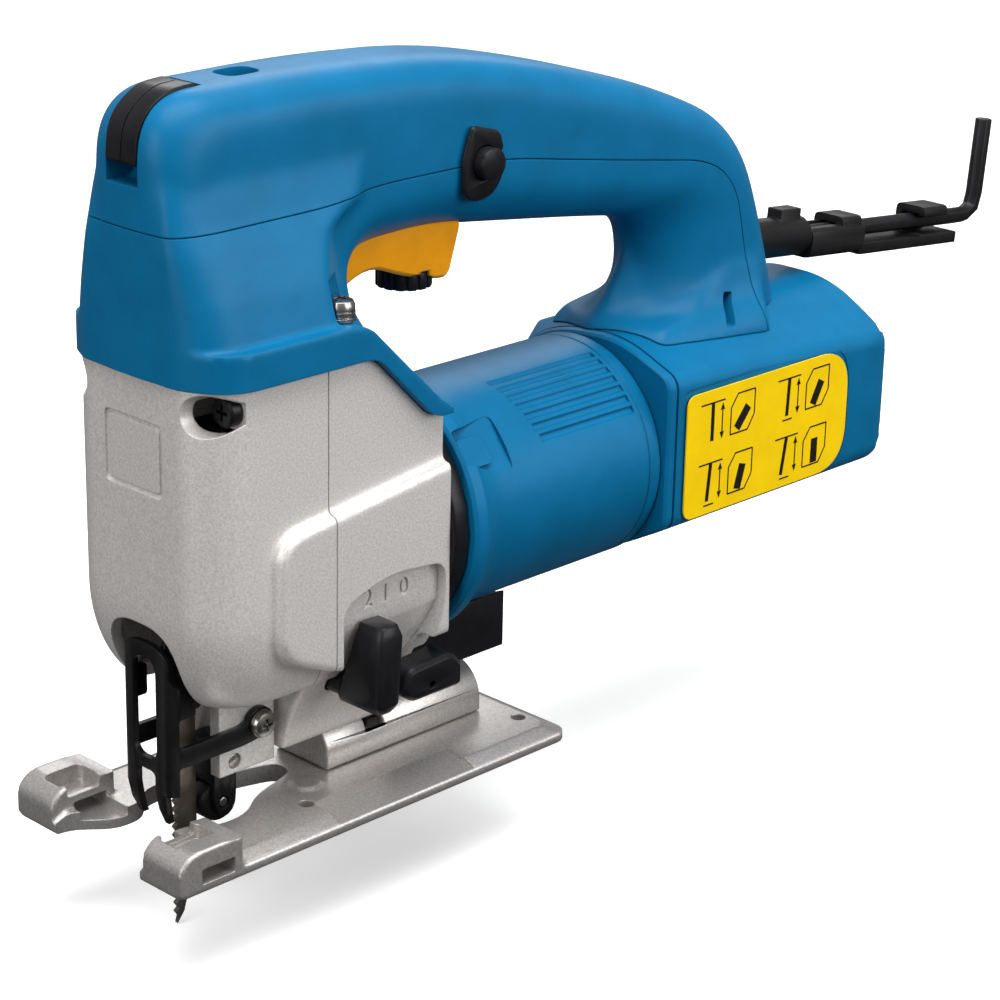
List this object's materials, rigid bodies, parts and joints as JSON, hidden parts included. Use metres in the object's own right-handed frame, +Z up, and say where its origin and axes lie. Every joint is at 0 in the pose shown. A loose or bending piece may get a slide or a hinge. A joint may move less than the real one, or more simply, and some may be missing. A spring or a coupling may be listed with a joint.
{
  "type": "jigsaw",
  "caption": "Hand-held orbital jigsaw with a closed D handle, cast gear case, finned motor barrel, tilting cast shoe, blade guide, chip guard and a hex key in a rear holder.",
  "frame": {"origin": "middle of the shoe's sole plane, below the tilt axis", "axes": "+X towards the motor and rear, -X towards the cutting front, -Y the tool's left side, +Z up out of the work"},
  "size_m": [0.3902, 0.079, 0.2365],
  "materials": {
    "blue_plastic": "satin",
    "cast_metal": "sandblasted",
    "shoe_metal": "cast and machined",
    "black_plastic": "satin",
    "black_steel": "black oxide",
    "steel": "bright",
    "core_steel": "laminated",
    "blade_steel": "ground",
    "copper": "turned copper",
    "brass": "plain",
    "carbon": "pressed carbon",
    "amber_plastic": "satin",
    "yellow_label": "printed film",
    "rubber": "matte"
  },
  "bodies": {
    "housing": {"front_cover": "cast_metal", "gear_housing": "cast_metal", "flange_ring": "black_plastic", "motor_barrel": "blue_plastic", "rear_housing": "blue_plastic", "info_label": "yellow_label", "dust_duct": "black_plastic", "handle_upper_shell": "blue_plastic", "handle_lower_shell": "blue_plastic", "case_screw_left": "black_steel", "case_screw_right": "black_steel", "strap_screw_left": "steel", "strap_screw_right": "steel", "guard_screw_left": "steel", "guard_screw_right": "steel", "handle_screw": "black_steel", "front_bearing": "steel", "rear_bearing": "steel", "stator_core": "core_steel", "brush_upper": "carbon", "brush_lower": "carbon", "brush_holder_upper": "brass", "brush_holder_lower": "brass", "gear_pin": "steel", "upper_rod_bush": "brass", "lower_rod_bush": "brass", "guide_bracket": "cast_metal", "guide_pin": "steel", "chip_guard": "black_steel", "bevel_screw": "black_steel", "lock_plate": "black_plastic", "trigger_pin": "steel", "switch_body": "black_plastic", "release_pin": "steel", "cord_guard": "rubber", "key_holder": "rubber"},
    "shoe": {"shoe": "shoe_metal", "bevel_cradle": "shoe_metal"},
    "plunger": {"plunger_rod": "steel", "plunger_yoke": "steel", "crank_roller": "steel", "blade_clamp": "black_steel", "blade": "blade_steel"},
    "crank": {"crank_gear": "steel"},
    "rotor": {"motor_shaft": "steel", "armature_core": "core_steel", "commutator": "copper", "cooling_fan": "black_plastic"},
    "release_lever": {"release_lever": "black_plastic"},
    "trigger": {"trigger": "amber_plastic"},
    "speed_dial": {"speed_dial": "black_plastic"},
    "lock_button": {"lock_button": "black_plastic"},
    "orbit_selector": {"selector_lever": "black_plastic"},
    "blower_lever": {"blower_lever": "black_plastic"},
    "roller_fork": {"roller_fork": "black_steel", "roller_pin": "steel"},
    "guide_roller": {"guide_roller": "black_steel"},
    "hex_key": {"hex_key": "black_steel"}
  },
  "joints": [
    {"name": "shoe_tilt", "type": "hinge", "parent": "housing", "child": "shoe", "pos_m": [0, 0, 0.0095], "axis": [1, 0, 0], "range_deg": [-45, 45]},
    {"name": "plunger_stroke", "type": "slide", "parent": "housing", "child": "plunger", "axis": [0, 0, 1], "range_m": [-0.013, 0.013]},
    {"name": "crank_spin", "type": "hinge", "parent": "housing", "child": "crank", "pos_m": [0, 0, 0.1003], "axis": [1, 0, 0], "continuous": true},
    {"name": "rotor_spin", "type": "hinge", "parent": "housing", "child": "rotor", "pos_m": [0, 0, 0.0753], "axis": [1, 0, 0], "continuous": true},
    {"name": "blade_release", "type": "hinge", "parent": "housing", "child": "release_lever", "pos_m": [-0.0408, 0, 0.2018], "axis": [0, 1, 0], "range_deg": [0, 50]},
    {"name": "trigger_pull", "type": "hinge", "parent": "housing", "child": "trigger", "pos_m": [0.012, 0, 0.163], "axis": [0, -1, 0], "range_deg": [0, 5], "stiffness_Nm_per_rad": 2, "springref_deg": -5.73},
    {"name": "speed_turn", "type": "hinge", "parent": "trigger", "child": "speed_dial", "pos_m": [0.0395, 0, 0.1406], "axis": [0, 0, 1], "range_deg": [-150, 150]},
    {"name": "lock_press", "type": "slide", "parent": "housing", "child": "lock_button", "axis": [0, 1, 0], "range_m": [0, 0.0025], "stiffness_N_per_m": 600, "springref_m": -0.002},
    {"name": "orbit_select", "type": "hinge", "parent": "housing", "child": "orbit_selector", "pos_m": [-0.0027, -0.025, 0.038], "axis": [0, 1, 0], "range_deg": [0, 40]},
    {"name": "blower_switch", "type": "hinge", "parent": "housing", "child": "blower_lever", "pos_m": [0.019, -0.025, 0.0345], "axis": [0, -1, 0], "range_deg": [0, 20]},
    {"name": "fork_swing", "type": "hinge", "parent": "housing", "child": "roller_fork", "pos_m": [-0.0315, 0, 0.0185], "axis": [0, -1, 0], "range_deg": [0, 8]},
    {"name": "roller_spin", "type": "hinge", "parent": "roller_fork", "child": "guide_roller", "pos_m": [-0.032, 0, 0.0047], "axis": [0, 1, 0], "continuous": true},
    {"name": "key_draw", "type": "slide", "parent": "housing", "child": "hex_key", "axis": [0.9954, 0, -0.0958], "range_m": [0, 0.095]}
  ],
  "couplings": [
    {"joint": "rotor_spin", "follows": "crank_spin", "ratio": -5.25}
  ]
}
